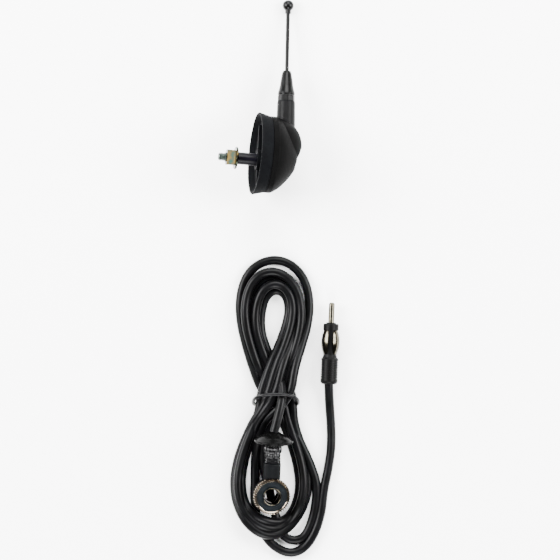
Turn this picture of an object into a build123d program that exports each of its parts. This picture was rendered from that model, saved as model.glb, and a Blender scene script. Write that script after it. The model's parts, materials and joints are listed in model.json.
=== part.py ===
"""Car roof aerial with a tilting mast, and its coiled coaxial lead.

Frame: the kit lies flat on a table at z = 0. +X is to the right of the mast, +Y runs along the mast
from the base to the tip, +Z is up. The origin is at the bottom centre of the aerial's own box.
The aerial head is modelled upright in its own frame and laid down once; the lead's end fitting and
its plug are modelled the same way. Millimetres throughout.

Head frame: mounting face at z = 0, stud along -Z, mast folded down along +Y, pivot along X.
"""

from build123d import *
from math import asin, atan2, cos, degrees, pi, radians, sin, tan
import os

os.makedirs("parts", exist_ok=True)

# ---------------------------------------------------------------- driving dimensions: base and dome
pad_radius = 22.1          # rubber rim that seals on the roof
pad_rim_edge = 0.35
pad_height = 6.4
pad_top_radius = 20.5
pad_wall = 1.9
pad_web_bottom = 3.0
pad_web_top = 4.2
pad_collar_wall = 2.2      # collar that grips the stud's sleeve
collar_bottom = 0.6
pad_rib_length = 16.0
pad_rib_width = 2.0
pad_rib_bottom = 1.2
dome_lip_z = 6.65          # a fine seam stays open between the pad and the dome
dome_lip_radius = 20.6
dome_edge_z = 9.4
dome_edge_radius = 20.55
flank_radius = 15.4        # two points that the dome's profile passes through
flank_z = 16.0
crown_radius = 8.9
crown_z = 20.8
dome_top_z = 22.6
shell_wall = 1.9
plate_top = 5.4
plate_radius = 18.4

pivot_y = 5.2
pivot_z = 9.9
cheek_radius = 15.0        # ball shaped cheeks either side of the swivel
slot_half = 5.4            # half the slot between the cheeks
slot_back_y = -6.6
slot_floor_z = 10.0
cheek_wall = 2.8
pin_radius = 1.6
running_gap = 0.05
hub_half = 5.3
hub_radius = 14.9
hub_boss_radius = 4.0
hub_front_angle = 4.0
hub_back_angle = 92.0
friction_washer_radius = 3.4
friction_washer_thickness = 0.6

# ---------------------------------------------------------------- driving dimensions: arm and mast
mast_dip = 1.8             # degrees the folded mast points towards the roof
mast_offset = 6.17         # from the pivot axis to the mast's axis
arm_root_radius = 5.15
arm_end_radius = 4.85
arm_root_s = 3.0           # distances along the mast's axis, from the foot of the pivot
arm_end_s = 24.0
seal_thickness = 0.5
insert_length = 9.0
insert_radius = 3.4
contact_radius = 1.1
contact_leg = 1.4
thread_radius = 2.45       # M5
collar_radius = 4.6
collar_end_s = 27.6
ferrule_end_s = 41.6
ferrule_end_radius = 2.55
rod_radius = 1.05
tip_radius = 3.0
tip_s = 77.8
tip_skirt = 4.4            # the ball's sleeve starts this far back along the rod
rod_root = 10.0            # length of rod inside the ferrule
thread_length = 7.4
thread_root_radius = 1.85
thread_root_length = 3.0

# ---------------------------------------------------------------- driving dimensions: roof stud
stud_y = -3.5
stud_end_z = -19.9
stud_point_radius = 2.1    # turned point that leads the nut on
stud_point_length = 3.9
stud_head_radius = 3.9
stud_head_top = 7.6
sleeve_radius = 3.3
sleeve_end_z = -9.9
washer_radius = 6.05
washer_thickness = 1.1
nut_flats = 8.0            # M5 hexagon
nut_height = 4.7
screw_x = 12.6
screw_y = -3.4
screw_radius = 1.45
screw_head_radius = 2.7
screw_head_height = 1.5
screw_length = 8.0
recess_length = 3.0        # cross recess in a screw's head
recess_width = 0.7
recess_depth = 0.9
boss_radius = 2.9
end_chamfer = 0.5

# ---------------------------------------------------------------- driving dimensions: lead
cable_diameter = 4.9
ring_radius = 10.0         # serrated earthing ring under the roof
ring_height = 2.4
ring_teeth = 40
drum_radius = 8.9
drum_height = 7.2
recess_radius = 8.25
contact_rim_radius = 4.85
terminal_bore_radius = 3.4
barrel_radius = 4.65
barrel_end_y = 17.7
neck_radius = 4.05
castle_start_y = 23.0
castle_end_y = 27.0
castle_radius = 4.85
grommet_radius = 10.6
grommet_start_y = 27.0
grommet_end_y = 34.4
plug_pin_radius = 1.6
plug_pin_length = 10.8
plug_root_radius = 1.2     # the pin's root, inside the insulator
plug_bush_radius = 2.6
plug_core_radius = 4.15
plug_spring_radius = 5.1
plug_grip_radius = 4.65
plug_length = 44.1
tie_wire = 1.6

# ---------------------------------------------------------------- how the head lies on the table
lean = atan2(pad_radius - dome_edge_radius, dome_edge_z - pad_rim_edge)
head_height = pad_radius * cos(lean) + pad_rim_edge * sin(lean)
foot_y = pivot_y + mast_offset * sin(radians(mast_dip))
foot_z = pivot_z + mast_offset * cos(radians(mast_dip))
tip_y = foot_y + tip_s * cos(radians(mast_dip))
tip_z = foot_z - tip_s * sin(radians(mast_dip))
roll = asin((tip_radius - head_height + tip_z * sin(lean)) / (tip_y * cos(lean)))
swing = radians(-5.0)      # the stud's own direction on the table

head_rest = Plane(origin=(0, 0, 0), x_dir=(0, 0, -1), z_dir=(1, 0, 0)).location
turned = Rot(0, 0, degrees(swing)) * Rot(0, degrees(lean), 0) * Rot(degrees(roll), 0, 0) * head_rest
head_place = Pos(-2.43, -30.57, head_height) * turned
mast_axis = Plane(
    origin=(0, foot_y, foot_z),
    x_dir=(1, 0, 0),
    z_dir=(0, cos(radians(mast_dip)), -sin(radians(mast_dip))),
)
mast_place = head_place * mast_axis.location
pivot_axis = Plane(origin=(0, pivot_y, pivot_z), x_dir=(0, 1, 0), z_dir=(1, 0, 0))

pieces = []                # each finished piece with the place it is laid in


def finish(piece, node, place):
    """Lay a finished piece in its place, name it and write it."""
    piece.part.move(place)
    piece.part.label = node
    export_step(piece.part, f"parts/{node}.step")
    pieces.append(piece.part)


# ================================================================ base
with BuildPart() as mounting_pad:
    with BuildSketch(Plane.XZ):
        with BuildLine():
            Polyline(
                (0, pad_web_bottom),
                (pad_top_radius - pad_wall + 0.5, pad_web_bottom),
                (pad_radius - 1.4, 0),
                (pad_radius - 0.25, 0),
                (pad_radius, pad_rim_edge),
                (pad_top_radius, pad_height),
                (pad_top_radius - pad_wall, pad_height),
                (pad_top_radius - pad_wall, pad_web_top),
                (0, pad_web_top),
                close=True,
            )
        make_face()
    revolve(axis=Axis.Z)
    # a collar seals round the sleeve, and two ribs stiffen it
    with BuildSketch(Plane.XY.offset(collar_bottom)):
        with Locations((0, stud_y)):
            Circle(sleeve_radius + pad_collar_wall)
    extrude(amount=pad_web_top - collar_bottom)
    with BuildSketch(Plane.XY.offset(pad_rib_bottom)):
        with Locations((0, pad_rib_length / 2 - 0.5), (0, -pad_rib_length / 2 - 4.5)):
            Rectangle(pad_rib_width, pad_rib_length)
    extrude(amount=pad_web_top - pad_rib_bottom)
    with BuildSketch():
        with Locations((0, stud_y)):
            Circle(sleeve_radius + running_gap)
        with Locations((screw_x, screw_y), (-screw_x, screw_y)):
            Circle(screw_head_radius + 0.3)
    extrude(amount=pad_web_top, mode=Mode.SUBTRACT)
finish(mounting_pad, "mounting_pad", head_place)

with BuildPart() as base_plate:
    with BuildSketch(Plane.XY.offset(pad_web_top)):
        Circle(plate_radius)
        with Locations((0, stud_y)):
            Circle(thread_radius + running_gap, mode=Mode.SUBTRACT)
        with Locations((screw_x, screw_y), (-screw_x, screw_y)):
            Circle(screw_radius + running_gap, mode=Mode.SUBTRACT)
    extrude(amount=plate_top - pad_web_top)
finish(base_plate, "base_plate", head_place)

# the hollow under the dome: everything inside the shell except the cheek walls and screw bosses
with BuildPart() as dome_hollow:
    with BuildSketch(Plane.XZ):
        with BuildLine():
            inner_side = Polyline(
                (0, dome_top_z - shell_wall),
                (0, 0),
                (dome_lip_radius - shell_wall, 0),
                (dome_edge_radius - shell_wall, dome_edge_z - 0.6),
            )
            Spline(
                inner_side @ 1,
                (flank_radius - 1.4, flank_z - 1.4),
                (crown_radius - 0.8, crown_z - 1.7),
                (0, dome_top_z - shell_wall),
                tangents=[(-0.45, 1), (-1, 0)],
            )
        make_face()
    revolve(axis=Axis.Z)
    with Locations((slot_half + cheek_wall / 2, 0, 0), (-slot_half - cheek_wall / 2, 0, 0)):
        Box(cheek_wall, 60, 60, mode=Mode.SUBTRACT)
    with Locations((screw_x, screw_y, 0), (-screw_x, screw_y, 0)):
        Cylinder(boss_radius, 60, mode=Mode.SUBTRACT)

with BuildPart() as dome_housing:
    with BuildSketch(Plane.XZ):
        with BuildLine():
            outer_side = Polyline(
                (0, dome_top_z),
                (0, dome_lip_z),
                (dome_lip_radius, dome_lip_z),
                (dome_edge_radius, dome_edge_z),
            )
            Spline(
                outer_side @ 1,
                (flank_radius, flank_z),
                (crown_radius, crown_z),
                (0, dome_top_z),
                tangents=[(-0.45, 1), (-1, 0)],
            )
        make_face()
    revolve(axis=Axis.Z)
    with Locations((0, pivot_y, pivot_z)):
        Sphere(cheek_radius)
    split(bisect_by=Plane.XY.offset(dome_lip_z), keep=Keep.TOP)
    # cheek feet and screw bosses reach down to the base plate
    with BuildSketch(Plane.XY.offset(plate_top)):
        with Locations((slot_half + cheek_wall / 2, 0), (-slot_half - cheek_wall / 2, 0)):
            Rectangle(cheek_wall, 30)
        with Locations((screw_x, screw_y), (-screw_x, screw_y)):
            Circle(boss_radius)
    extrude(amount=dome_lip_z - plate_top + 1.0)
    add(dome_hollow.part, mode=Mode.SUBTRACT)
    # the slot that the swivel turns in
    with BuildSketch(Plane.YZ):
        with Locations((slot_back_y, slot_floor_z)):
            Rectangle(60, 30, align=(Align.MIN, Align.MIN))
    extrude(amount=slot_half, both=True, mode=Mode.SUBTRACT)
    with BuildSketch(pivot_axis):
        Circle(hub_radius + 0.3)
        Rectangle(40, 40, align=(Align.MIN, Align.CENTER), mode=Mode.SUBTRACT)
    extrude(amount=slot_half, both=True, mode=Mode.SUBTRACT)
    # bores for the pivot pin and the two screws
    with BuildSketch(pivot_axis):
        Circle(pin_radius)
    extrude(amount=slot_half + cheek_wall, both=True, mode=Mode.SUBTRACT)
    with BuildSketch(Plane.XY.offset(plate_top)):
        with Locations((screw_x, screw_y), (-screw_x, screw_y)):
            Circle(screw_radius)
    extrude(amount=screw_length - plate_top + pad_web_top + 0.4, mode=Mode.SUBTRACT)
finish(dome_housing, "dome_housing", head_place)

with BuildPart() as housing_screws:
    with BuildSketch(Plane.XY.offset(pad_web_top)):
        with Locations((screw_x, screw_y), (-screw_x, screw_y)):
            Circle(screw_radius)
    extrude(amount=screw_length)
    with BuildSketch(Plane.XY.offset(pad_web_top)):
        with Locations((screw_x, screw_y), (-screw_x, screw_y)):
            Circle(screw_head_radius)
    extrude(amount=-screw_head_height)
    # cross recesses
    with BuildSketch(Plane.XY.offset(pad_web_top - screw_head_height)):
        with Locations((screw_x, screw_y), (-screw_x, screw_y)):
            Rectangle(recess_length, recess_width)
            Rectangle(recess_width, recess_length)
    extrude(amount=recess_depth, mode=Mode.SUBTRACT)
finish(housing_screws, "housing_screws", head_place)

pin_end_x = slot_half + cheek_wall + 1.6
with BuildPart() as pivot_pin:
    with BuildSketch(pivot_axis.offset(-slot_half - cheek_wall)):
        Circle(pin_radius)
    extrude(amount=pin_end_x + slot_half + cheek_wall)
    chamfer(pivot_pin.edges().group_by(Axis.X)[-1], 0.3)
finish(pivot_pin, "pivot_pin", head_place)

for side, node in ((1, "friction_washer_right"), (-1, "friction_washer_left")):
    with BuildPart() as friction_washer:
        with BuildSketch(pivot_axis.offset(side * slot_half)):
            Circle(friction_washer_radius)
            Circle(pin_radius, mode=Mode.SUBTRACT)
        extrude(amount=-side * friction_washer_thickness)
    finish(friction_washer, node, head_place)

# a phosphor bronze leaf joins the pin to the base plate
leaf_x = pin_end_x - 0.7
leaf_thickness = 0.4
leaf_foot = 4.6
leaf_rise = 2.6            # how far the leaf stands past the pin's axis
leaf_half_width = 2.4
with BuildPart() as contact_spring:
    with BuildSketch(Plane.XZ.offset(-pivot_y)):
        with BuildLine():
            Polyline(
                (leaf_x, pivot_z + leaf_rise),
                (leaf_x, plate_top),
                (leaf_x + leaf_foot, plate_top),
                (leaf_x + leaf_foot, plate_top + leaf_thickness),
                (leaf_x + leaf_thickness, plate_top + leaf_thickness),
                (leaf_x + leaf_thickness, pivot_z + leaf_rise),
                close=True,
            )
        make_face()
    extrude(amount=leaf_half_width, both=True)
    with BuildSketch(pivot_axis):
        Circle(pin_radius)
    extrude(amount=pin_end_x, mode=Mode.SUBTRACT)
finish(contact_spring, "contact_spring", head_place)

with BuildPart() as mounting_stud:
    with BuildSketch(Plane.XY.offset(plate_top)):
        with Locations((0, stud_y)):
            Circle(thread_radius)
    extrude(amount=stud_end_z + stud_point_length - plate_top)
    with BuildSketch(Plane.XY.offset(stud_end_z + stud_point_length)):
        with Locations((0, stud_y)):
            Circle(stud_point_radius)
    extrude(amount=-stud_point_length)
    chamfer(mounting_stud.edges().group_by(Axis.Z)[0], end_chamfer)
    with BuildSketch(Plane.XY.offset(plate_top)):
        with Locations((0, stud_y)):
            RegularPolygon(stud_head_radius, 6)
    extrude(amount=stud_head_top - plate_top)
finish(mounting_stud, "mounting_stud", head_place)

with BuildPart() as stud_sleeve:
    with BuildSketch(Plane.XY.offset(pad_web_top)):
        with Locations((0, stud_y)):
            Circle(sleeve_radius)
            Circle(thread_radius + running_gap, mode=Mode.SUBTRACT)
    extrude(amount=sleeve_end_z - pad_web_top)
finish(stud_sleeve, "stud_sleeve", head_place)

with BuildPart() as stud_washer:
    with BuildSketch(Plane.XY.offset(sleeve_end_z)):
        with Locations((0, stud_y)):
            Circle(washer_radius)
            Circle(thread_radius + 0.2, mode=Mode.SUBTRACT)
    extrude(amount=-washer_thickness)
    chamfer(stud_washer.edges().filter_by(GeomType.CIRCLE).sort_by(SortBy.RADIUS)[-2:], 0.25)
finish(stud_washer, "stud_washer", head_place)

nut_start_z = sleeve_end_z - washer_thickness
with BuildPart() as stud_nut:
    with BuildSketch(Plane.XY.offset(nut_start_z)):
        with Locations((0, stud_y)):
            RegularPolygon(nut_flats / 2, 6, major_radius=False, rotation=10)
    extrude(amount=-nut_height)
    # both ends are turned to a 30 degree chamfer
    with BuildSketch(Plane.XZ.offset(-stud_y)):
        with BuildLine():
            Polyline(
                (0, nut_start_z),
                (nut_flats / 2, nut_start_z),
                (nut_flats / 2 + 1.2, nut_start_z - 0.7),
                (nut_flats / 2 + 1.2, nut_start_z - nut_height + 0.7),
                (nut_flats / 2, nut_start_z - nut_height),
                (0, nut_start_z - nut_height),
                close=True,
            )
        make_face()
    revolve(axis=Axis((0, stud_y, 0), (0, 0, 1)), mode=Mode.INTERSECT)
    with BuildSketch(Plane.XY.offset(nut_start_z)):
        with Locations((0, stud_y)):
            Circle(thread_radius + running_gap)
    extrude(amount=-nut_height, mode=Mode.SUBTRACT)
finish(stud_nut, "stud_nut", head_place)

# ================================================================ arm
# one brass piece runs from the mast's insert down to the pivot pin
with BuildPart() as arm_contact:
    with BuildSketch(mast_axis):
        Circle(contact_radius)
    extrude(amount=arm_end_s - insert_length)
    with BuildSketch(Plane.XY.offset(pivot_z + pin_radius + 2 * running_gap)):
        with Locations((0, foot_y + contact_leg)):
            Rectangle(contact_leg, contact_leg)
    extrude(amount=mast_offset - pin_radius - 2 * running_gap)

with BuildPart() as swivel_arm:
    with BuildSketch(pivot_axis):
        with BuildLine():
            PolarLine((0, 0), hub_radius, hub_front_angle)
            rim = CenterArc((0, 0), hub_radius, hub_front_angle, hub_back_angle - hub_front_angle)
            Line(rim @ 1, (0, 0))
        make_face()
        Circle(hub_boss_radius)
    extrude(amount=hub_half, both=True)
    # the rim is crowned to follow the cheeks
    with Locations((0, pivot_y, pivot_z)):
        Sphere(cheek_radius - 0.05, mode=Mode.INTERSECT)
    # tapered socket arm
    with BuildSketch(mast_axis.offset(arm_root_s)):
        Circle(arm_root_radius)
    with BuildSketch(mast_axis.offset(arm_end_s)):
        Circle(arm_end_radius)
    loft()
    with BuildSketch(pivot_axis):
        Circle(pin_radius + running_gap)
    extrude(amount=hub_half, both=True, mode=Mode.SUBTRACT)
    with BuildSketch(pivot_axis.offset(hub_half), pivot_axis.offset(friction_washer_thickness - hub_half)):
        Circle(friction_washer_radius + 0.4)
    extrude(amount=-friction_washer_thickness, mode=Mode.SUBTRACT)
    with BuildSketch(mast_axis.offset(arm_end_s)):
        Circle(insert_radius)
    extrude(amount=-insert_length, mode=Mode.SUBTRACT)
    # channel for the contact
    with BuildSketch(mast_axis):
        Circle(contact_radius)
    extrude(amount=arm_end_s - insert_length, mode=Mode.SUBTRACT)
    with BuildSketch(Plane.XY.offset(pivot_z)):
        with Locations((0, foot_y + contact_leg)):
            Rectangle(contact_leg, contact_leg)
    extrude(amount=mast_offset, mode=Mode.SUBTRACT)
finish(arm_contact, "arm_contact", head_place)
finish(swivel_arm, "swivel_arm", head_place)

with BuildPart() as thread_insert:
    with BuildSketch(Plane.XY.offset(arm_end_s)):
        Circle(insert_radius)
    extrude(amount=-insert_length)
    with BuildSketch(Plane.XY.offset(arm_end_s)):
        Circle(thread_radius + running_gap)
    extrude(amount=1.0 - insert_length, mode=Mode.SUBTRACT)
finish(thread_insert, "thread_insert", mast_place)

# ================================================================ mast
with BuildPart() as mast_seal:
    with BuildSketch(Plane.XY.offset(arm_end_s)):
        Circle(arm_end_radius - 0.2)
        Circle(thread_radius + 0.2, mode=Mode.SUBTRACT)
    extrude(amount=seal_thickness)
finish(mast_seal, "mast_seal", mast_place)

mast_start_s = arm_end_s + seal_thickness
with BuildPart() as mast_ferrule:
    with BuildSketch(Plane.XZ):
        with BuildLine():
            Polyline(
                (0, mast_start_s),
                (collar_radius, mast_start_s),
                (collar_radius, collar_end_s),
                (collar_radius - 0.35, collar_end_s + 0.15),
                (collar_radius - 0.35, collar_end_s + 0.55),
                (collar_radius, collar_end_s + 0.8),
            )
            taper = Spline(
                (collar_radius, collar_end_s + 0.8),
                (3.95, 31.6),
                (3.2, 36.4),
                (ferrule_end_radius, ferrule_end_s - 1.4),
                tangents=[(-0.02, 1), (-0.16, 1)],
            )
            nose = Line(taper @ 1, (ferrule_end_radius - 0.55, ferrule_end_s - 0.25))
            shoulder = Line(nose @ 1, (rod_radius, ferrule_end_s))
            Polyline(shoulder @ 1, (0, ferrule_end_s), (0, mast_start_s))
        make_face()
    revolve(axis=Axis.Z)
    # spanner flats round the collar
    with BuildSketch(Plane.XY.offset(mast_start_s)):
        Circle(collar_radius + 1)
        RegularPolygon(collar_radius - 0.22, 8, major_radius=False, mode=Mode.SUBTRACT)
    extrude(amount=collar_end_s - mast_start_s, mode=Mode.SUBTRACT)
    with BuildSketch(Plane.XY.offset(ferrule_end_s)):
        Circle(rod_radius)
    extrude(amount=-rod_root, mode=Mode.SUBTRACT)
    with BuildSketch(Plane.XY.offset(mast_start_s)):
        Circle(thread_root_radius)
    extrude(amount=thread_root_length, mode=Mode.SUBTRACT)
finish(mast_ferrule, "mast_ferrule", mast_place)

with BuildPart() as mast_thread:
    with BuildSketch(Plane.XY.offset(mast_start_s)):
        Circle(thread_radius)
    extrude(amount=-thread_length)
    chamfer(mast_thread.edges().group_by(Axis.Z)[0], end_chamfer)
    with BuildSketch(Plane.XY.offset(mast_start_s)):
        Circle(thread_root_radius)
    extrude(amount=thread_root_length)
finish(mast_thread, "mast_thread", mast_place)

with BuildPart() as mast_rod:
    with BuildSketch(Plane.XY.offset(ferrule_end_s - rod_root)):
        Circle(rod_radius)
    extrude(amount=tip_s - ferrule_end_s + rod_root - 0.8)
finish(mast_rod, "mast_rod", mast_place)

with BuildPart() as mast_tip:
    with Locations((0, 0, tip_s)):
        Sphere(tip_radius)
    with BuildSketch(Plane.XY.offset(tip_s - tip_skirt)):
        Circle(rod_radius + 0.55)
    extrude(amount=tip_radius)
    with BuildSketch(Plane.XY.offset(tip_s - tip_skirt)):
        Circle(rod_radius)
    extrude(amount=tip_skirt - 0.8, mode=Mode.SUBTRACT)
finish(mast_tip, "mast_tip", mast_place)

# ================================================================ lead: the end that meets the stud
# own frame: serrated face up, barrel along +Y, the drum's underside at z = 0
terminal_place = Pos(5.3, -213.1, 6.5) * Rot(0, 0, -2.5) * Rot(10.0, 0, 0) * Rot(0, 8.0, 0)
grommet_place = terminal_place * Pos(0.2, grommet_start_y, barrel_radius) * Rot(-90, 0, -7.0)
ring_top = drum_height + ring_height
contact_top = ring_top + 0.5

with BuildPart() as connector_body:
    Cylinder(drum_radius, drum_height, align=(Align.CENTER, Align.CENTER, Align.MIN))
    with BuildSketch(Plane.XZ):
        with Locations((0, barrel_radius)):
            Circle(barrel_radius)
    extrude(amount=-barrel_end_y)
    fillet(connector_body.edges().filter_by(GeomType.CIRCLE).group_by(Axis.Y)[-1], 0.6)
    # the ring and its insulator stand on the drum
    with BuildSketch(Plane.XY.offset(drum_height)):
        Circle(ring_radius + 0.1)
    extrude(amount=ring_height + 1, mode=Mode.SUBTRACT)
    with BuildSketch():
        Circle(contact_rim_radius - 0.6)
    extrude(amount=drum_height, mode=Mode.SUBTRACT)
finish(connector_body, "connector_body", terminal_place)

with BuildPart() as terminal_ring:
    with BuildSketch(Plane.XY.offset(drum_height)):
        Circle(ring_radius)
        Circle(recess_radius, mode=Mode.SUBTRACT)
    extrude(amount=ring_height)
    # teeth bite into the roof panel
    with BuildSketch(Plane.XY.offset(ring_top)):
        with PolarLocations(ring_radius, ring_teeth):
            RegularPolygon(0.42, 4)
    extrude(amount=-0.9, mode=Mode.SUBTRACT)
finish(terminal_ring, "terminal_ring", terminal_place)

with BuildPart() as terminal_insulator:
    with BuildSketch(Plane.XY.offset(drum_height)):
        Circle(recess_radius)
        Circle(contact_rim_radius - 0.6, mode=Mode.SUBTRACT)
    extrude(amount=ring_height - 1.0)
finish(terminal_insulator, "terminal_insulator", terminal_place)

with BuildPart() as terminal_contact:
    with BuildSketch(Plane.XZ):
        with BuildLine():
            Polyline(
                (terminal_bore_radius, 0),
                (contact_rim_radius - 0.6, 0),
                (contact_rim_radius - 0.6, ring_top - 1.0),
                (contact_rim_radius, ring_top - 1.0),
                (contact_rim_radius, contact_top),
                (contact_rim_radius - 0.35, contact_top),
                (terminal_bore_radius, contact_top - 2.2),
                close=True,
            )
        make_face()
    revolve(axis=Axis.Z)
finish(terminal_contact, "terminal_contact", terminal_place)

# ribbed bend relief with a castellated end, round the barrel's axis
with BuildPart() as strain_relief:
    with BuildSketch(Plane.XZ.offset(-barrel_end_y)):
        with Locations((0, barrel_radius)):
            Circle(neck_radius)
    extrude(amount=barrel_end_y - castle_end_y + 0.6)
    rib_pitch = (castle_start_y - barrel_end_y) / 3
    for rib in range(2):
        with BuildSketch(Plane.XZ.offset(-barrel_end_y - rib_pitch * (rib + 0.9))):
            with Locations((0, barrel_radius)):
                Circle(neck_radius + 0.35)
        extrude(amount=-rib_pitch * 0.6)
    with BuildSketch(Plane.XZ.offset(-castle_start_y)):
        with Locations((0, barrel_radius)):
            Circle(castle_radius)
            with PolarLocations(castle_radius, 10):
                Circle(0.55, mode=Mode.SUBTRACT)
    extrude(amount=castle_start_y - castle_end_y + 0.6)
    with BuildSketch(Plane.XZ.offset(-barrel_end_y - 2)):
        with Locations((0, barrel_radius)):
            Circle(cable_diameter / 2)
    extrude(amount=-20, mode=Mode.SUBTRACT)
finish(strain_relief, "strain_relief", terminal_place)

# wing grommet: low domed flange, groove and a plug flange, along its own +Z
grommet_length = grommet_end_y - grommet_start_y
with BuildPart() as grommet:
    with BuildSketch(Plane.XZ):
        with BuildLine():
            back = Polyline(
                (cable_diameter / 2, 0),
                (5.6, 0),
                (6.8, 1.0),
                (6.4, 2.0),
                (grommet_radius - 1.0, 2.3),
            )
            brim = ThreePointArc(back @ 1, (grommet_radius, 3.0), (grommet_radius - 0.5, 3.8))
            crown = ThreePointArc(brim @ 1, (6.6, 5.9), (3.4, grommet_length))
            Polyline(crown @ 1, (cable_diameter / 2, grommet_length), (cable_diameter / 2, 0))
        make_face()
    revolve(axis=Axis.Z)
finish(grommet, "grommet", grommet_place)

# ================================================================ lead: the coil
strand_level = cable_diameter
coil_top = 2 * cable_diameter
waist_bottom = tie_wire + 0.1
waist_top = waist_bottom + 16.0
waist_half = 4.3           # half the length over which the strands are gathered
waist_y = -162.0
waist_left = -2.4
waist_right = 19.4

upper_left = [(-9.7, -136.2), (-13.5, -114.1), (-7.6, -95.7)]
upper_crown = [(8.1, -85.6), (21.6, -91.9)]
upper_right = [(28.2, -110.0), (24.8, -136.2)]
lower_right = [(26.5, -187.0), (35.3, -205.0), (36.2, -217.0), (32.9, -234.0)]
lower_sole = [(15.1, -248.8), (1.0, -242.0)]
lower_left = [(-13.0, -228.0), (-15.7, -212.0), (-11.3, -191.3)]


def loop_face(points, ends):
    """A teardrop outline from one side of the waist, round a loop, to the other side."""
    with BuildSketch(mode=Mode.PRIVATE) as outline:
        with BuildLine():
            turn = Spline(ends[0], *points, ends[1])
            Line(turn @ 1, turn @ 0)
        make_face()
    return outline.sketch


upper_outline = loop_face(
    upper_left + upper_crown + upper_right, [(waist_left, waist_y), (waist_right, waist_y)]
)
lower_outline = loop_face(
    lower_right + lower_sole + lower_left, [(waist_right, waist_y), (waist_left, waist_y)]
)
upper_opening = [(8.6, -106.4), (12.8, -112.5), (6.5, -134.8), (2.3, -122.5)]
lower_opening = [(9.0, -187.6), (17.6, -204.5), (15.0, -225.5), (2.5, -224.5), (1.6, -202.0)]
terminal_room = [(9.0, -168.0), (18.4, -178.5), (20.2, -196.0), (18.5, -216.0), (5.0, -229.0)]
terminal_room += [(-7.4, -214.0), (-5.0, -190.0), (-1.6, -177.0)]

with BuildPart() as cable_hank:
    with BuildSketch():
        add(upper_outline)
        add(lower_outline)
        with BuildLine():
            Spline(*upper_opening, periodic=True)
        make_face(mode=Mode.SUBTRACT)
        with BuildLine():
            Spline(*lower_opening, periodic=True)
        make_face(mode=Mode.SUBTRACT)
    extrude(amount=strand_level)
    with BuildSketch(Plane.XY.offset(strand_level)):
        add(upper_outline)
        add(lower_outline)
        with BuildLine():
            Spline(*upper_opening, periodic=True)
        make_face(mode=Mode.SUBTRACT)
        with BuildLine():
            Spline(*terminal_room, periodic=True)
        make_face(mode=Mode.SUBTRACT)
        # towards the sole the strands lie in a single layer
        with Locations((0, -228.0)):
            Rectangle(120, 60, align=(Align.CENTER, Align.MAX), mode=Mode.SUBTRACT)
    extrude(amount=coil_top - strand_level)
    with BuildSketch():
        with Locations(((waist_left + waist_right) / 2, waist_y)):
            Rectangle(waist_right - waist_left, 2 * waist_half)
    extrude(amount=waist_top)
    # the tie passes under the strands
    with BuildSketch():
        with Locations(((waist_left + waist_right) / 2, waist_y)):
            Rectangle(60, 3.4)
    extrude(amount=waist_bottom, mode=Mode.SUBTRACT)
finish(cable_hank, "cable_hank", Location())

with BuildPart() as hank_tie:
    with BuildSketch(Plane.XZ.offset(-waist_y)):
        with Locations(((waist_left + waist_right) / 2, (waist_top + tie_wire) / 2)):
            RectangleRounded(
                waist_right - waist_left + 2 * tie_wire + 1.0, waist_top + tie_wire, 2.4
            )
            RectangleRounded(waist_right - waist_left + 1.0, waist_top - tie_wire, 0.4, mode=Mode.SUBTRACT)
    extrude(amount=tie_wire / 2, both=True)
    # the twisted ends stand out on both sides
    for end_x in (waist_left - 1.9, waist_right + 1.9):
        with BuildSketch(Plane.XY.offset(coil_top - 0.8)):
            with Locations((end_x, waist_y)):
                Circle(1.5)
        extrude(amount=2.6)
finish(hank_tie, "hank_tie", Location())

# ================================================================ lead: loose stretches
lead_in_route = [(7.6, -180.1, 16.95), (9.6, -172.8, 16.7), (11.4, -166.0, 14.9)]
tail_route = [
    (34.6, -214.5, 2.45),
    (37.5, -200.5, 2.45),
    (38.9, -186.0, 2.45),
    (38.1, -170.5, 3.0),
    (37.05, -154.9, 5.2),
]


run_share = 0.45           # how much of a run one corner's arc may take


def corner_radii(route):
    """The largest arc that each corner's two runs leave room for."""
    points = [Vector(*point) for point in route]
    radii = []
    for before, corner, after in zip(points, points[1:], points[2:]):
        run_in = corner - before
        run_out = after - corner
        half_turn = radians(run_in.get_angle(run_out) / 2)
        shorter = min(run_in.length, run_out.length)
        radii.append(run_share * shorter / tan(half_turn))
    return radii


for node, route in (("cable_lead_in", lead_in_route), ("cable_tail", tail_route)):
    radii = corner_radii(route)
    with BuildPart() as cable:
        with BuildLine():
            path = FilletPolyline(*route, radius=radii)
        with BuildSketch(Plane(origin=path @ 0, z_dir=path % 0)):
            Circle(cable_diameter / 2)
        sweep()
    section = pi * (cable_diameter / 2) ** 2
    print(node, "radii", [round(radius, 1) for radius in radii], "length", round(path.length, 1))
    print(node, "volume over section x length", round(cable.part.volume / (section * path.length), 4))
    finish(cable, node, Location())

# ================================================================ lead: the radio plug
# own frame: axis along +Z, cable entry at z = 0, pin tip at the top
plug_place = Pos(37.1, -154.6, 5.2) * Rot(0, 0, -2.2) * Rot(-90, 0, 0)
grip_end = 14.6
grip_ribs = 8
grip_rib_start = 3.0
grip_rib_pitch = 1.3
core_start = 16.4
core_end = 29.2
nose_end = plug_length - plug_pin_length

with BuildPart() as plug_grip:
    with BuildSketch(Plane.XZ):
        with BuildLine():
            rear = Polyline((0, 0), (3.2, 0))
            rear_round = RadiusArc(rear @ 1, (plug_grip_radius, 1.8), -1.9)
            Polyline(
                rear_round @ 1,
                (plug_grip_radius, grip_end - 1.0),
                (plug_grip_radius - 0.8, grip_end),
                (plug_grip_radius - 1.3, core_start),
                (0, core_start),
                (0, 0),
            )
        make_face()
    revolve(axis=Axis.Z)
    # fine grip ribs
    for rib in range(grip_ribs):
        with BuildSketch(Plane.XY.offset(grip_rib_start + rib * grip_rib_pitch)):
            Circle(plug_grip_radius + 1)
            Circle(plug_grip_radius - 0.3, mode=Mode.SUBTRACT)
        extrude(amount=0.55, mode=Mode.SUBTRACT)
finish(plug_grip, "plug_grip", plug_place)

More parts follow.
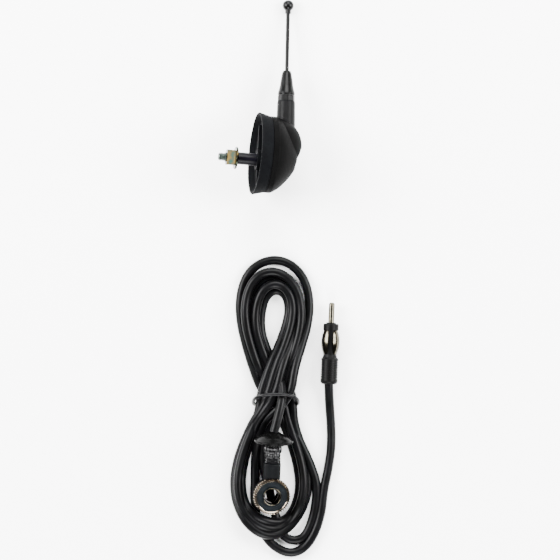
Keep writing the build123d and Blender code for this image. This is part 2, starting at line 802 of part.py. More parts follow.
with BuildPart() as plug_body:
    with BuildSketch(Plane.XY.offset(core_start)):
        Circle(plug_core_radius - 0.35)
    extrude(amount=core_end - core_start)
finish(plug_body, "plug_body", plug_place)

# four sprung contact strips bow out round the core
with BuildPart() as plug_springs:
    with BuildSketch(Plane.XZ):
        with BuildLine():
            bow = ThreePointArc(
                (plug_core_radius - 0.35, core_start),
                (plug_spring_radius, (core_start + core_end) / 2),
                (plug_core_radius - 0.35, core_end),
            )
            Line(bow @ 1, bow @ 0)
        make_face()
    revolve(axis=Axis.Z)
    with BuildSketch(Plane.XY.offset(core_start)):
        with PolarLocations(plug_spring_radius, 4):
            Rectangle(4.4, 3.0)
    extrude(amount=core_end - core_start, mode=Mode.SUBTRACT)
    with BuildSketch(Plane.XY.offset(core_start)):
        Circle(plug_core_radius - 0.35)
    extrude(amount=core_end - core_start, mode=Mode.SUBTRACT)
finish(plug_springs, "plug_springs", plug_place)

with BuildPart() as plug_nose:
    with BuildSketch(Plane.XY.offset(core_end)):
        Circle(plug_core_radius)
    extrude(amount=nose_end - core_end - 0.6)
    chamfer(plug_nose.edges().group_by(Axis.Z)[-1], 0.5)
    with BuildSketch(Plane.XY.offset(core_end)):
        Circle(plug_bush_radius)
    extrude(amount=nose_end - core_end, mode=Mode.SUBTRACT)
finish(plug_nose, "plug_nose", plug_place)

with BuildPart() as plug_insulator:
    with BuildSketch(Plane.XY.offset(core_end)):
        Circle(plug_bush_radius)
        Circle(plug_root_radius, mode=Mode.SUBTRACT)
    extrude(amount=nose_end - core_end)
finish(plug_insulator, "plug_insulator", plug_place)

with BuildPart() as plug_pin:
    with BuildSketch(Plane.XY.offset(core_end)):
        Circle(plug_root_radius)
    extrude(amount=nose_end - core_end)
    with BuildSketch(Plane.XY.offset(nose_end)):
        Circle(plug_pin_radius)
    extrude(amount=plug_pin_length)
    fillet(plug_pin.edges().group_by(Axis.Z)[-1], 1.1)
finish(plug_pin, "plug_pin", plug_place)

whole = Compound(children=pieces).bounding_box()
print("whole kit", whole.min, whole.max)
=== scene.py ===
"""A car roof aerial and its tied coaxial lead, laid flat on a pale table. Metres, in the frame's own axes."""

import json
import math

import bmesh
import bpy
from mathutils import Matrix, Vector


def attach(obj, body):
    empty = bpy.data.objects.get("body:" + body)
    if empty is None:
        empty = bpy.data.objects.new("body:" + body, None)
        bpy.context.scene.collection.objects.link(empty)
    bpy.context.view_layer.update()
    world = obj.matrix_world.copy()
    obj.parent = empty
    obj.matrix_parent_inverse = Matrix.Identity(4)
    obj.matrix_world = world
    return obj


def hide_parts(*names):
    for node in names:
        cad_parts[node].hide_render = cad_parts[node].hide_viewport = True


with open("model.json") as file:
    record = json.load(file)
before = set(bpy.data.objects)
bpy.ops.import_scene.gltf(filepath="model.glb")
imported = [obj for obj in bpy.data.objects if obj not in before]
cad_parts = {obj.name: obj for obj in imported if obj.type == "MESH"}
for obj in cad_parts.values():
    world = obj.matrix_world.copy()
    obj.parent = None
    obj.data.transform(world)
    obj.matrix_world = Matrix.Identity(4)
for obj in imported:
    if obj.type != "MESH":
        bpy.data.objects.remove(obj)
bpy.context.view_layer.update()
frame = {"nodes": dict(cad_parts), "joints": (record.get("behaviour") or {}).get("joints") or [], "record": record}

MM = 0.001
record = frame["record"]
nodes = frame["nodes"]
joints = {joint["name"]: joint for joint in frame["joints"]}
mounts = {mount["name"]: mount for mount in record["mounts"]}


# ------------------------------------------------------------------ places of the frames that pieces are made in
def basis(x_axis, y_axis, z_axis, origin):
    """A placing matrix from three unit axes and an origin in metres."""
    rows = Matrix((x_axis, y_axis, z_axis)).transposed().to_4x4()
    rows.translation = origin
    return rows


# millimetres, each in its own part's upright frame
STUD_Y = -3.5              # the stud stands off the dome's centre
NUT_START_Z = -11.0        # the nut's face against its washer
BORE_MIDDLE_Z = 3.95       # middle of the terminal's bore
BARREL_Z = 4.65            # the barrel's axis above the terminal's foot
GROMMET_OFF, GROMMET_AWAY = 0.2, 27.0    # the grommet's foot, across and along the barrel
# degrees
TERMINAL_LEAN_X, TERMINAL_LEAN_Y, TERMINAL_TURN = 10, 8, -2.5
GROMMET_LEAN = -7
LAY_FLAT = -90             # brings a piece turned about Z round onto the barrel's axis


def turned(degrees, axis):
    """A rotation about one axis."""
    return Matrix.Rotation(math.radians(degrees), 4, axis)


head_x = Vector(joints["mast_tilt"]["axis"])
head_z = -Vector(joints["nut_turn"]["axis"])
head_y = head_z.cross(head_x)
stud_point = Vector(joints["nut_turn"]["pos_m"])
head_origin = stud_point - head_y * STUD_Y * MM - head_z * NUT_START_Z * MM
HEAD = basis(head_x, head_y, head_z, head_origin)

bore = mounts["terminal_bore"]
terminal_z = Vector(bore["axis"])
terminal_origin = Vector(bore["pos_m"]) - terminal_z * BORE_MIDDLE_Z * MM
terminal_turn = turned(TERMINAL_TURN, "Z") @ turned(TERMINAL_LEAN_X, "X") @ turned(TERMINAL_LEAN_Y, "Y")
TERMINAL = Matrix.Translation(terminal_origin) @ terminal_turn

GROMMET = TERMINAL @ Matrix.Translation((GROMMET_OFF * MM, GROMMET_AWAY * MM, BARREL_Z * MM))
GROMMET = GROMMET @ turned(LAY_FLAT, "X") @ turned(GROMMET_LEAN, "Z")

# ------------------------------------------------------------------ camera
VIEW_CENTRE = Vector((10.8 * MM, -98.4 * MM, 0))
VIEW_WIDTH = 302.4 * MM
LENS = 300.0
FAR_CLIP = 20.0

camera_data = bpy.data.cameras.new("camera")
camera_data.lens = LENS
camera_data.clip_end = FAR_CLIP
camera = bpy.data.objects.new("camera", camera_data)
camera.location = VIEW_CENTRE + Vector((0, 0, VIEW_WIDTH * LENS / camera_data.sensor_width))
bpy.context.scene.collection.objects.link(camera)
bpy.context.scene.camera = camera


# ------------------------------------------------------------------ small helpers
def linear(hex_colour):
    """sRGB hex to linear RGBA."""
    channels = [int(hex_colour[i:i + 2], 16) / 255 for i in (0, 2, 4)]
    bent = [c / 12.92 if c <= 0.04045 else ((c + 0.055) / 1.055) ** 2.4 for c in channels]
    return (*bent, 1.0)


def add_node(tree, kind, **inputs):
    """Add a node; inputs are values, or sockets to link."""
    node = tree.nodes.new(kind)
    for key, value in inputs.items():
        socket = node.inputs[key.replace("_", " ")]
        if isinstance(value, bpy.types.NodeSocket):
            tree.links.new(value, socket)
        else:
            socket.default_value = value
    return node


def new_material(name, base, roughness, metallic=0.0, **sockets):
    """A Principled material; returns it with its tree and shader."""
    material = bpy.data.materials.new(name)
    material.use_nodes = True
    shader = material.node_tree.nodes["Principled BSDF"]
    shader.inputs["Base Color"].default_value = linear(base)
    shader.inputs["Roughness"].default_value = roughness
    shader.inputs["Metallic"].default_value = metallic
    for key, value in sockets.items():
        shader.inputs[key.replace("_", " ")].default_value = value
    return material, material.node_tree, shader


def noise(tree, size_mm, detail=3.0, stretch=(1, 1, 1)):
    """Noise whose features are about size_mm across, stretched along an axis if asked."""
    coordinates = add_node(tree, "ShaderNodeTexCoord")
    scaled = add_node(
        tree, "ShaderNodeMapping", Vector=coordinates.outputs["Object"], Scale=tuple(1 / s for s in stretch)
    )
    return add_node(
        tree, "ShaderNodeTexNoise", Vector=scaled.outputs[0], Scale=1 / (size_mm * MM), Detail=detail
    )


def tint(tree, shader, factor, low, high, start=0.3, end=0.7):
    """Vary the base colour between two hex colours."""
    ramp = add_node(tree, "ShaderNodeValToRGB", Fac=factor)
    ramp.color_ramp.elements[0].position = start
    ramp.color_ramp.elements[1].position = end
    ramp.color_ramp.elements[0].color = linear(low)
    ramp.color_ramp.elements[1].color = linear(high)
    tree.links.new(ramp.outputs["Color"], shader.inputs["Base Color"])
    return ramp


def vary_roughness(tree, shader, factor, low, high):
    """Vary the roughness between two values."""
    spread = add_node(tree, "ShaderNodeMapRange", Value=factor, To_Min=low, To_Max=high)
    tree.links.new(spread.outputs["Result"], shader.inputs["Roughness"])


def raise_bump(tree, shader, height, depth_mm, strength):
    """Drive the shader's normal from a height; depth_mm is the relief's real depth."""
    bump = add_node(tree, "ShaderNodeBump", Height=height, Distance=depth_mm * MM, Strength=strength)
    tree.links.new(bump.outputs["Normal"], shader.inputs["Normal"])


# ------------------------------------------------------------------ materials
def grained_abs():
    # moulded ABS with a fine spark-eroded grain: matt, breaks up every highlight
    material, tree, shader = new_material("grained_abs", "020202", 0.6, Specular_IOR_Level=0.012)
    grain = noise(tree, 0.5, 2.0)
    cloud = noise(tree, 9.0, 3.0)
    tint(tree, shader, cloud.outputs["Fac"], "020202", "040404")
    vary_roughness(tree, shader, cloud.outputs["Fac"], 0.5, 0.62)
    raise_bump(tree, shader, grain.outputs["Fac"], 0.05, 0.7)
    return material


def epdm_rubber():
    # pressed EPDM rubber: a little greyer than the dome, dusty and dull
    material, tree, shader = new_material("epdm_rubber", "030304", 0.62, Specular_IOR_Level=0.016)
    bloom = noise(tree, 5.0, 4.0)
    tint(tree, shader, bloom.outputs["Fac"], "030304", "060708")
    vary_roughness(tree, shader, bloom.outputs["Fac"], 0.58, 0.8)
    skin = noise(tree, 0.35, 2.0)
    raise_bump(tree, shader, skin.outputs["Fac"], 0.03, 0.5)
    return material


def satin_nylon():
    # glass-filled nylon moulding: satin, with faint flow lines along the arm
    material, tree, shader = new_material("satin_nylon", "030303", 0.38, Specular_IOR_Level=0.045)
    flow = noise(tree, 1.2, 3.0, stretch=(1, 9, 1))
    tint(tree, shader, flow.outputs["Fac"], "030303", "070708")
    vary_roughness(tree, shader, flow.outputs["Fac"], 0.33, 0.47)
    raise_bump(tree, shader, flow.outputs["Fac"], 0.02, 0.4)
    return material


def black_coated_steel():
    # steel with a baked black coat: harder and glossier than the plastics, slight orange peel
    material, tree, shader = new_material("black_coated_steel", "020202", 0.3, Specular_IOR_Level=0.08)
    peel = noise(tree, 0.8, 2.0)
    vary_roughness(tree, shader, peel.outputs["Fac"], 0.24, 0.38)
    raise_bump(tree, shader, peel.outputs["Fac"], 0.012, 0.5)
    return material


def gloss_nylon():
    # polished nylon moulding, for the ball
    material, tree, shader = new_material("gloss_nylon", "020202", 0.22, Specular_IOR_Level=0.1)
    haze = noise(tree, 1.4, 2.0)
    vary_roughness(tree, shader, haze.outputs["Fac"], 0.17, 0.3)
    return material


def yellow_zinc():
    # zinc plate with a yellow passivate: warm, with green and blue drifts
    material, tree, shader = new_material("yellow_zinc", "1d1c13", 0.14, 1.0)
    drift = noise(tree, 2.6, 2.0)
    ramp = tint(tree, shader, drift.outputs["Fac"], "101d19", "2c2410", 0.32, 0.6)
    middle = ramp.color_ramp.elements.new(0.47)
    middle.color = linear("1c1c15")
    wear = noise(tree, 0.5, 4.0)
    vary_roughness(tree, shader, wear.outputs["Fac"], 0.1, 0.22)
    raise_bump(tree, shader, wear.outputs["Fac"], 0.012, 0.4)
    return material


def dull_zinc():
    # rolled thread, zinc plated: greyer, oil darkened between the crests
    material, tree, shader = new_material("dull_zinc", "343a37", 0.34, 1.0)
    stain = noise(tree, 1.1, 4.0)
    tint(tree, shader, stain.outputs["Fac"], "1c2220", "4c554f")
    vary_roughness(tree, shader, stain.outputs["Fac"], 0.28, 0.48)
    return material


def bright_nickel():
    # bright nickel plate over brass: warm white, almost a mirror
    material, tree, shader = new_material("bright_nickel", "7a7064", 0.12, 1.0)
    haze = noise(tree, 1.6, 3.0)
    tint(tree, shader, haze.outputs["Fac"], "6a6156", "8f8578")
    vary_roughness(tree, shader, haze.outputs["Fac"], 0.07, 0.16)
    return material


def bare_steel():
    # plain turned steel, for screws, pin and plate
    material, tree, shader = new_material("bare_steel", "a9aaa8", 0.34, 1.0)
    turned = noise(tree, 0.6, 3.0)
    vary_roughness(tree, shader, turned.outputs["Fac"], 0.28, 0.44)
    return material


def phosphor_bronze():
    # rolled spring strip: pinkish brown metal
    material, tree, shader = new_material("phosphor_bronze", "b08058", 0.3, 1.0)
    rolled = noise(tree, 0.5, 3.0, stretch=(1, 6, 1))
    vary_roughness(tree, shader, rolled.outputs["Fac"], 0.24, 0.4)
    return material


def turned_brass():
    # free-cutting brass with tool marks
    material, tree, shader = new_material("turned_brass", "c4a262", 0.28, 1.0)
    marks = noise(tree, 0.4, 3.0)
    vary_roughness(tree, shader, marks.outputs["Fac"], 0.22, 0.38)
    return material


def polyolefin_sleeve():
    # thin extruded sleeve: smooth, blue-black, soft gloss
    material, tree, shader = new_material("polyolefin_sleeve", "030306", 0.36, Specular_IOR_Level=0.07)
    draw = noise(tree, 1.0, 2.0, stretch=(8, 1, 1))
    tint(tree, shader, draw.outputs["Fac"], "030305", "07060c")
    vary_roughness(tree, shader, draw.outputs["Fac"], 0.28, 0.42)
    return material


def acetal_blue_grey():
    # cool grey acetal insulator, moulded smooth
    material, tree, shader = new_material("acetal_blue_grey", "07090b", 0.4, Specular_IOR_Level=0.06)
    cloud = noise(tree, 3.0, 3.0)
    tint(tree, shader, cloud.outputs["Fac"], "06090b", "0c1013")
    vary_roughness(tree, shader, cloud.outputs["Fac"], 0.34, 0.5)
    return material


def moulded_pvc():
    # flexible PVC moulding: satin with a fine sparkle of grain
    material, tree, shader = new_material("moulded_pvc", "030304", 0.42, Specular_IOR_Level=0.035)
    grain = noise(tree, 0.45, 3.0)
    cloud = noise(tree, 4.0, 3.0)
    tint(tree, shader, cloud.outputs["Fac"], "030304", "060708")
    vary_roughness(tree, shader, grain.outputs["Fac"], 0.38, 0.56)
    raise_bump(tree, shader, grain.outputs["Fac"], 0.04, 0.6)
    return material


def glossy_pvc():
    # the relief comes from a polished mould: each flute carries a sharp highlight
    material, tree, shader = new_material("glossy_pvc", "040405", 0.24, Specular_IOR_Level=0.22)
    haze = noise(tree, 1.2, 3.0)
    vary_roughness(tree, shader, haze.outputs["Fac"], 0.2, 0.3)
    return material


def shaded_nickel():
    # painted shade: the same nickel plate as the ring, made greyer and darker than the ring for the funnel's
    # throat, the pin and the springs
    material, tree, shader = new_material("shaded_nickel", "3c3a33", 0.12, 1.0)
    # the darker base is painted shade; this noise only varies it at random
    uneven_tone = noise(tree, 1.5, 3.0)
    tint(tree, shader, uneven_tone.outputs["Fac"], "2c2b26", "4c483d")
    vary_roughness(tree, shader, uneven_tone.outputs["Fac"], 0.09, 0.2)
    return material


def chloroprene():
    # pressed rubber with a skin from a polished mould: deep black, soft gloss
    material, tree, shader = new_material("chloroprene", "020202", 0.16, Specular_IOR_Level=0.03)
    bloom = noise(tree, 3.0, 4.0)
    tint(tree, shader, bloom.outputs["Fac"], "020202", "040404")
    vary_roughness(tree, shader, bloom.outputs["Fac"], 0.12, 0.26)
    return material


def sheath_pvc():
    # extruded PVC cable sheath: satin, with faint die lines along the cable and scuffs
    material, tree, shader = new_material("sheath_pvc", "020203", 0.3, Specular_IOR_Level=0.055)
    scuff = noise(tree, 6.0, 5.0)
    fine = noise(tree, 0.7, 3.0)
    tint(tree, shader, scuff.outputs["Fac"], "020202", "060607")
    vary_roughness(tree, shader, fine.outputs["Fac"], 0.26, 0.38)
    raise_bump(tree, shader, fine.outputs["Fac"], 0.02, 0.35)
    return material


def tie_pvc():
    # PVC over soft wire: smooth, slightly shiny
    material, tree, shader = new_material("tie_pvc", "020203", 0.28, Specular_IOR_Level=0.12)
    ripple = noise(tree, 1.0, 2.0)
    vary_roughness(tree, shader, ripple.outputs["Fac"], 0.26, 0.4)
    return material


def plug_abs():
    # moulded ABS grip, fine satin
    material, tree, shader = new_material("plug_abs", "020202", 0.36, Specular_IOR_Level=0.045)
    grain = noise(tree, 0.5, 3.0)
    tint(tree, shader, grain.outputs["Fac"], "020202", "050505")
    vary_roughness(tree, shader, grain.outputs["Fac"], 0.33, 0.5)
    raise_bump(tree, shader, grain.outputs["Fac"], 0.02, 0.5)
    return material


def laminate_table():
    # smooth pale table top: even and nearly matt, so the black pieces stand out
    return new_material("laminate_table", "fdfdfd", 0.7, Specular_IOR_Level=0.2)[0]


ABS, RUBBER, NYLON = grained_abs(), epdm_rubber(), satin_nylon()
COATED, GLOSS, ZINC, THREAD = black_coated_steel(), gloss_nylon(), yellow_zinc(), dull_zinc()
NICKEL, STEEL, BRONZE, BRASS = bright_nickel(), bare_steel(), phosphor_bronze(), turned_brass()
SLEEVE, ACETAL, PVC, GROMMET_RUBBER = polyolefin_sleeve(), acetal_blue_grey(), moulded_pvc(), chloroprene()
SHEATH, TIE, PLUG_ABS, TABLE = sheath_pvc(), tie_pvc(), plug_abs(), laminate_table()
# the second nickel is a darker copy of the ring's nickel plate: painted shade
FLUTED, SHADED_NICKEL = glossy_pvc(), shaded_nickel()

cad_finish = {
    "mounting_pad": RUBBER, "base_plate": STEEL, "dome_housing": ABS, "housing_screws": STEEL,
    "pivot_pin": STEEL, "friction_washer_right": BRONZE, "friction_washer_left": BRONZE,
    "contact_spring": BRONZE, "mounting_stud": THREAD, "stud_sleeve": SLEEVE, "swivel_arm": NYLON,
    "arm_contact": BRASS, "thread_insert": BRASS, "mast_seal": RUBBER, "mast_ferrule": COATED,
    "mast_thread": STEEL, "mast_rod": COATED, "mast_tip": GLOSS, "stud_washer": ZINC, "stud_nut": ZINC,
    "terminal_ring": NICKEL, "terminal_insulator": ACETAL, "terminal_contact": NICKEL,
    "connector_body": PVC, "strain_relief": PVC, "grommet": GROMMET_RUBBER, "cable_lead_in": SHEATH,
    "cable_hank": SHEATH, "hank_tie": TIE, "cable_tail": SHEATH, "plug_grip": PLUG_ABS,
    # the plug springs and pin take the darker nickel: painted shade and painted dark reflection
    "plug_body": PLUG_ABS, "plug_springs": SHADED_NICKEL, "plug_nose": PLUG_ABS, "plug_insulator": PLUG_ABS,
    "plug_pin": SHADED_NICKEL,
}
for node_name, material in cad_finish.items():
    mesh = nodes[node_name].data
    mesh.materials.clear()
    mesh.materials.append(material)

# ------------------------------------------------------------------ the cable
CABLE = 4.9
TIE_Y = -162.0
BEFORE_TIE, AFTER_TIE = 3, 5       # how far from the tie a strand takes and leaves its place in it
LOW, HIGH = 2.45, 6.4              # a strand on the table, and one that rides on another
SOLE_ON_TOP = 7.4                  # where the lower loops pass over those that lie under the fitting
FOLD_START_Z = 4.2                 # a strand's height as it leaves the tie upwards


def blend(a, b, t):
    return a + (b - a) * t


def between(inner, outer, share):
    """Plan points of one strand, a share of the way from the inner route to the outer one."""
    return [(blend(p[0], q[0], share), blend(p[1], q[1], share)) for p, q in zip(inner, outer)]


upper_outer = [
    (-3.8, -145.9), (-7.6, -133.5), (-10.5, -121.1), (-11.1, -109.2), (-8.4, -97.8), (-2.2, -90.3),
    (7.0, -87.0), (16.3, -89.3), (23.8, -97.0), (27.0, -109.2), (25.9, -122.3), (22.4, -134.0),
    (18.6, -145.9),
]
upper_inner = [
    (8.1, -145.9), (3.8, -136.2), (0.8, -127.5), (0.3, -119.4), (1.5, -111.7), (3.8, -106.4),
    (8.1, -103.6), (12.5, -105.0), (15.2, -109.2), (15.7, -115.7), (13.8, -123.8), (10.3, -133.5),
    (5.7, -143.7),
]
top_outer = [
    (-3.2, -174.0), (-7.8, -183.7), (-12.0, -194.5), (-14.1, -206.4), (-13.1, -217.6), (-8.3, -228.2),
    (0.0, -235.4), (9.2, -236.3), (17.8, -230.2), (23.8, -220.4), (26.2, -209.6), (25.4, -198.3),
    (22.1, -187.0), (18.4, -176.1),
]
top_inner = [
    (-1.1, -174.0), (-4.9, -183.7), (-8.3, -194.5), (-10.3, -206.4), (-9.3, -215.8), (-5.7, -222.9),
    (0.8, -227.3), (8.0, -229.3), (14.6, -227.6), (19.4, -219.9), (21.7, -209.6), (20.0, -197.2),
    (16.4, -185.3), (12.6, -175.1),
]
under_outer = [
    (2.2, -174.0), (-1.4, -184.8), (-2.7, -196.7), (-2.7, -207.0), (-3.0, -218.8), (-1.1, -230.1),
    (6.0, -241.4), (15.7, -246.3), (23.8, -243.6), (29.7, -235.0), (33.2, -223.7), (34.3, -211.8),
]
under_inner = [
    (4.6, -174.0), (2.2, -184.8), (1.4, -197.0), (4.2, -208.0), (6.9, -218.9), (9.3, -229.2),
    (12.3, -236.6), (18.0, -239.3), (24.3, -237.2), (28.6, -227.4), (30.8, -215.0), (29.7, -202.1),
]

# one row a turn: share of the way out in the upper loop, its level, where it crosses over and then under
# at the tie, each as (x, z), and the lower route with its share and its level
turns = [
    (0.25, HIGH, (4.6, 10.6), (17.4, 5.2), top_inner, top_outer, 1.0, LOW),
    (0.00, LOW, (0.6, 9.2), (12.2, 4.6), top_inner, top_outer, 0.5, HIGH),
    (0.50, LOW, (8.8, 11.8), (6.6, 4.2), top_inner, top_outer, 0.0, LOW),
    (0.75, HIGH, (12.8, 8.6), (1.2, 4.2), under_inner, under_outer, 0.0, LOW),
    (1.00, LOW, (16.8, 11.2), None, under_inner, under_outer, 1.0, LOW),
]
# the loops inside the outermost one sag away from it, most of all past the crown
sag = [1, 1, 1, 1, 0.96, 0.92, 0.82, 0.72, 0.7, 0.78, 0.92, 1, 1]
exit_point = (7.6, -180.1, 16.95)
lead_in = [exit_point, (9.4, -173.0, 16.9), (12.0, -162.5, 15.4), (12.0, -153.5, 11.0)]
tail = [
    (36.7, -201.0, 2.45), (38.5, -189.1, 2.45), (38.4, -177.2, 2.45), (37.5, -165.3, 3.6),
    (37.05, -155.6, 5.2), (36.96, -152.0, 5.2),
]


def upper_turn(share, level, over_z):
    """Up the left side, round the crown and down the right side towards the tie."""
    shares = [share * part if share < 1 else 1 for part in sag]
    plan = [
        (blend(p[0], q[0], t), blend(p[1], q[1], t)) for p, q, t in zip(upper_inner, upper_outer, shares)
    ]
    heights = [blend(FOLD_START_Z, level, t) for t in (0.3, 0.7, 1)] + [level] * 7
    heights += [blend(level, over_z, t) for t in (0.12, 0.5, 0.9)]
    return [(x, y, z) for (x, y), z in zip(plan, heights)]


def lower_turn(route, over_z, under_z, level, on_top, leaves):
    """Down the left side from the tie, round the sole and up the right side."""
    sole = SOLE_ON_TOP if on_top else LOW
    heights = [blend(level, over_z, t) for t in (0.75, 0.3)] + [level, level]
    heights += [blend(level, sole, 0.4), sole, sole, blend(LOW, sole, 0.45), LOW]
    if leaves:
        heights += [LOW] * (len(route) - len(heights))
    else:
        heights += [level] * (len(route) - len(heights) - 2) + [blend(level, under_z, t) for t in (0.3, 0.8)]
    return [(x, y, z) for (x, y), z in zip(route, heights)]


cable_points = list(lead_in)
for share, level, over, under, inner, outer, lower_share, lower_level in turns:
    cable_points += upper_turn(share, level, over[1])
    cable_points.append((over[0], TIE_Y + BEFORE_TIE, over[1]))
    cable_points.append((blend(over[0], inner[0][0], 0.5), TIE_Y - AFTER_TIE, over[1]))
    route = between(inner, outer, lower_share)
    cable_points += lower_turn(
        route, over[1], under[1] if under else LOW, lower_level, inner is top_inner, under is None
    )
    if under:
        cable_points.append((blend(under[0], route[-1][0], 0.4), TIE_Y - AFTER_TIE, under[1]))
        cable_points.append((under[0], TIE_Y + BEFORE_TIE, under[1]))
cable_points += tail

cable_curve = bpy.data.curves.new("coaxial_cable", "CURVE")
cable_curve.dimensions = "3D"
spline = cable_curve.splines.new("NURBS")
spline.points.add(len(cable_points) - 1)
for point, place in zip(spline.points, cable_points):
    point.co = (*(Vector(place) * MM), 1)
spline.order_u = 3
spline.use_endpoint_u = True
spline.resolution_u = 6
coaxial_cable = bpy.data.objects.new("coaxial_cable", cable_curve)
bpy.context.scene.collection.objects.link(coaxial_cable)
bare_line = bpy.data.meshes.new_from_object(coaxial_cable)
bpy.data.meshes.remove(bare_line)
cable_curve.bevel_depth = CABLE / 2 * MM
cable_curve.bevel_resolution = 5
cable_curve.use_fill_caps = True
cable_curve.materials.append(SHEATH)
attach(coaxial_cable, "lead")
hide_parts("cable_lead_in", "cable_hank", "cable_tail")

# ------------------------------------------------------------------ turned and moulded pieces
MERGE_MM = 0.0005
ROUND = 96                         # steps round a plain turned piece


def lathe(profile, steps, closed=True):
    """Spin a profile of (radius, height) points about Z; closed profiles make rings."""
    bm = bmesh.new()
    verts = [bm.verts.new((radius, 0, height)) for radius, height in profile]
    pairs = list(zip(verts, verts[1:]))
    if closed:
        pairs.append((verts[-1], verts[0]))
    edges = [bm.edges.new(pair) for pair in pairs]
    bmesh.ops.spin(
        bm, geom=verts + edges, axis=(0, 0, 1), cent=(0, 0, 0), angle=math.tau, steps=steps, use_merge=True
    )
    bmesh.ops.remove_doubles(bm, verts=bm.verts, dist=MERGE_MM)
    return bm


def sector(vert, steps):
    """Which of the spin's steps a vertex stands on."""
    return round(math.atan2(vert.co.y, vert.co.x) / math.tau * steps) % steps


def finish_piece(name, bm, frame_matrix, body, stands_for, material, crease=35):
    bmesh.ops.recalc_face_normals(bm, faces=bm.faces)
    bmesh.ops.transform(bm, matrix=frame_matrix @ Matrix.Scale(MM, 4), verts=bm.verts)
    mesh = bpy.data.meshes.new(name)
    bm.to_mesh(mesh)
    bm.free()
    mesh.shade_smooth()
    mesh.set_sharp_from_angle(angle=math.radians(crease))
    mesh.materials.append(material)
    piece = bpy.data.objects.new(name, mesh)
    bpy.context.scene.collection.objects.link(piece)
    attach(piece, body)
    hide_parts(*stands_for)
    return piece


def arc(centre, radius, start, end, count):
    """Profile points along an arc, angles in degrees."""
    angles = [math.radians(blend(start, end, i / (count - 1))) for i in range(count)]
    return [(centre[0] + radius * math.cos(a), centre[1] + radius * math.sin(a)) for a in angles]


# stud: a rolled M5 thread with a pointed end; ridges run right along it
STUD_TOP, THREAD_END, STUD_END = 5.4, -16.0, -19.9
PITCH, THREAD_DEPTH = 0.8, 0.34
STUD_STEPS = 64
CREST, POINT_CREST = 2.45, 2.14
TURNED_END = 0.9                   # the last stretch is turned plain
stud_profile = [(0, STUD_TOP), (2.3, STUD_TOP)]
height = STUD_TOP - 0.3
while height > STUD_END + TURNED_END:
    crest = CREST if height > THREAD_END else POINT_CREST
    root = crest - THREAD_DEPTH
    stud_profile += [(root, height), (crest, height - 0.3), (crest, height - 0.42), (root, height - 0.72)]
    height -= PITCH
stud_profile += [(1.75, STUD_END + 0.35), (1.5, STUD_END), (0, STUD_END)]
STUD = HEAD @ Matrix.Translation((0, STUD_Y * MM, 0))
stud = lathe(stud_profile, STUD_STEPS, closed=False)
finish_piece("threaded_stud", stud, STUD, "base", ["mounting_stud"], THREAD)

# earthing ring: fine radial teeth round a smooth inner lip
TEETH, TOOTH_STEPS = 44, 4
LIP_RADIUS, TOOTH_FOOT_Z, VALLEY_Z, VALLEY_SHARE = 9.3, 7.5, 8.6, 0.93
ring = lathe(
    [(8.25, 7.2), (9.9, 7.2), (10.0, 8.0), (10.0, 9.2), (9.8, 9.55), (9.35, 9.6), (9.15, 9.1), (9.0, 9.1),
     (8.85, 9.55), (8.4, 9.6), (8.25, 9.5)],
    TEETH * TOOTH_STEPS,
)
for vert in ring.verts:
    on_teeth = math.hypot(vert.co.x, vert.co.y) > LIP_RADIUS and vert.co.z > TOOTH_FOOT_Z
    if on_teeth and sector(vert, TEETH * TOOTH_STEPS) % TOOTH_STEPS in (2, 3):
        vert.co.z = min(vert.co.z, VALLEY_Z)
        vert.co.xy *= VALLEY_SHARE
serrated_ring = finish_piece(
    "serrated_ring", ring, TERMINAL, "lead", ["terminal_ring"], NICKEL, crease=25
)

# funnel: thin rolled lip, then a polished throat that narrows to the bore
throat = [(3.4, 0), (4.25, 0), (4.25, 8.6), (4.85, 8.6), (4.85, 9.85)]
throat += arc((4.66, 9.9), 0.19, 0, 180, 7) + [(4.42, 9.5), (4.2, 8.9), (3.85, 8.0), (3.55, 6.9), (3.42, 5.6)]
funnel = lathe(throat, ROUND)
# the funnel takes the darker nickel: painted shade in its throat
polished_funnel = finish_piece(
    "polished_funnel", funnel, TERMINAL, "lead", ["terminal_contact"], SHADED_NICKEL
)

# insulator: a sunk face with a low step round the funnel
insulator = [(4.27, 7.2), (8.23, 7.2), (8.23, 8.5), (6.2, 8.5), (6.0, 8.75), (5.2, 8.75), (4.9, 8.55)]
insulator += [(4.27, 8.55)]
annulus = lathe(insulator, ROUND)
sunk_insulator = finish_piece(
    "sunk_insulator", annulus, TERMINAL, "lead", ["terminal_insulator"], ACETAL
)

# bend relief: ribs, then two rows of flutes, the larger one at the end
BARREL = TERMINAL @ Matrix.Translation((0, 0, BARREL_Z * MM)) @ turned(LAY_FLAT, "X")
FLUTES, FLUTE_STEPS = 14, 8
FLUTE_FLOOR, FLUTES_START_Z, FLUTE_SHARE = 4.0, 21, 0.075
relief_profile = [
    (2.47, 17.7), (3.9, 17.7), (4.1, 18.0), (4.45, 18.2), (4.45, 18.9), (4.05, 19.1), (4.0, 19.5),
    (4.35, 19.7), (4.35, 20.3), (3.95, 20.5), (3.95, 20.9), (4.2, 21.1), (4.35, 21.6), (4.3, 22.4),
    (4.0, 22.7), (3.95, 23.0), (4.5, 23.3), (4.85, 23.8), (4.9, 24.9), (4.75, 26.0), (4.2, 26.7),
    (3.4, 27.2), (2.47, 27.2),
]
relief = lathe(relief_profile, FLUTES * FLUTE_STEPS)
for vert in relief.verts:
    if math.hypot(vert.co.x, vert.co.y) > FLUTE_FLOOR and vert.co.z > FLUTES_START_Z:
        swing = 1 - math.cos(math.tau * sector(vert, FLUTES * FLUTE_STEPS) / FLUTE_STEPS)
        vert.co.xy *= 1 - FLUTE_SHARE * swing
fluted_relief = finish_piece(
    "fluted_relief", relief, BARREL, "lead", ["strain_relief"], FLUTED, crease=50
)

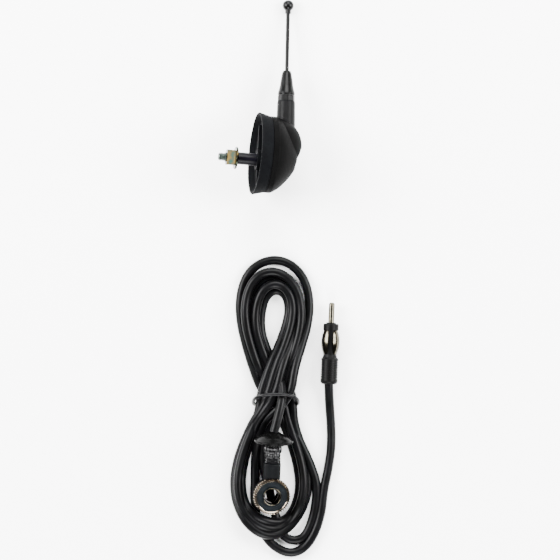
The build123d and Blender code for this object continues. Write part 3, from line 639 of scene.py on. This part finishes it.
# wing grommet: conical back, rounded brim, domed crown that closes on the cable
grommet_profile = [(2.5, -0.1), (4.6, -0.1), (5.4, 0.2), (7.4, 1.1), (9.4, 1.7), (10.1, 2.0)]
grommet_profile += arc((10.0, 2.75), 0.62, -75, 80, 8)
grommet_profile += [(9.4, 3.75), (8.4, 4.55), (7.2, 5.3), (5.8, 6.0), (4.6, 6.5), (3.7, 7.0), (3.1, 7.35)]
grommet_profile += [(2.5, 7.4)]
cap = lathe(grommet_profile, ROUND)
wing_grommet = finish_piece(
    "wing_grommet", cap, GROMMET, "lead", ["grommet"], GROMMET_RUBBER
)

# tie: plastic covered wire drawn round the strands, turning down at each side
TIE_WIRE = 1.8
tie_loop = [
    (-3.7, -164.6, 8.2), (-3.3, -162.2, 14.6), (0.2, -160.2, 18.2), (8.5, -159.6, 18.5), (16.8, -160.2, 18.2),
    (20.3, -162.2, 14.6), (20.7, -164.6, 8.2), (19.8, -165.6, 2.6), (16.6, -165.2, 0.95), (8.5, -164.6, 0.95),
    (0.4, -165.2, 0.95), (-2.8, -165.6, 2.6),
]
tie_curve = bpy.data.curves.new("tie_route", "CURVE")
tie_curve.dimensions = "3D"
tie_spline = tie_curve.splines.new("NURBS")
tie_spline.points.add(len(tie_loop) - 1)
for point, place in zip(tie_spline.points, tie_loop):
    point.co = (*(Vector(place) * MM), 1)
tie_spline.use_cyclic_u = True
tie_spline.order_u = 3
tie_spline.resolution_u = 8
tie_curve.bevel_depth = TIE_WIRE / 2 * MM
tie_curve.bevel_resolution = 4
tie_route = bpy.data.objects.new("tie_route", tie_curve)
bpy.context.scene.collection.objects.link(tie_route)
tie_mesh = bpy.data.meshes.new_from_object(tie_route)
bpy.data.objects.remove(tie_route)
tie_bm = bmesh.new()
tie_bm.from_mesh(tie_mesh)
bpy.data.meshes.remove(tie_mesh)
bmesh.ops.scale(tie_bm, vec=(1 / MM, 1 / MM, 1 / MM), verts=tie_bm.verts)
wire_tie = finish_piece("wire_tie", tie_bm, Matrix.Identity(4), "lead", ["hank_tie"], TIE)

# ------------------------------------------------------------------ table and light
TABLE_SIZE = 6.0
WORLD_STRENGTH = 0.12
bpy.ops.mesh.primitive_plane_add(size=TABLE_SIZE)
table = bpy.context.object
table.name = "table"
table.data.materials.append(TABLE)


def softbox(name, place, size, power):
    light_data = bpy.data.lights.new(name, "AREA")
    light_data.size = size
    light_data.energy = power
    light = bpy.data.objects.new(name, light_data)
    light.location = place
    light.rotation_euler = (VIEW_CENTRE - Vector(place)).to_track_quat("-Z", "Y").to_euler()
    bpy.context.scene.collection.objects.link(light)


# name, place and size in metres, power in watts
softboxes = [
    ("left_bank", (-0.95, 0.25, 0.75), 0.8, 92),
    ("right_bank", (0.95, 0.1, 0.75), 0.7, 66),
    ("far_bank", (0.1, 1.0, 0.8), 0.9, 74),
    ("near_bank", (0.0, -1.25, 0.8), 0.8, 60),
]
for box in softboxes:
    softbox(*box)
world = bpy.data.worlds.new("studio")
world.use_nodes = True
world.node_tree.nodes["Background"].inputs["Color"].default_value = (1, 1, 1, 1)
world.node_tree.nodes["Background"].inputs["Strength"].default_value = WORLD_STRENGTH
bpy.context.scene.world = world
